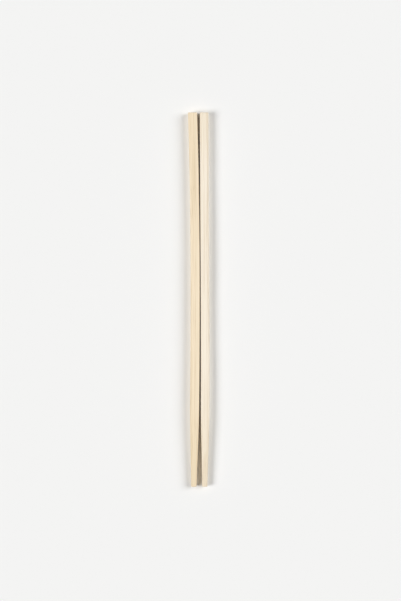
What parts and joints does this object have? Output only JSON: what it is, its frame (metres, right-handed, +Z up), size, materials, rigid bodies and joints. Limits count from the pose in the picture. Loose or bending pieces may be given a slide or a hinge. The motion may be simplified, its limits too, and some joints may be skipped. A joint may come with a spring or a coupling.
{
  "type": "pair of bamboo chopsticks",
  "caption": "Pair of slim square-section bamboo chopsticks with flat cut thick ends and gently tapering tips, lying side by side, for picking up food.",
  "frame": {"origin": "on the table, at the centre of the pair's outline", "axes": "+Z up, +Y along the sticks to their thick ends, +X to the right-hand stick"},
  "size_m": [0.0134, 0.24, 0.0057],
  "materials": {
    "cream_bamboo": "planed bare bamboo, satin, with fine lengthwise fibres",
    "ivory_bamboo": "planed bare bamboo, paler, satin, with fine lengthwise fibres"
  },
  "bodies": {
    "root": {"left_chopstick": "cream_bamboo", "right_chopstick": "ivory_bamboo"}
  },
  "joints": []
}
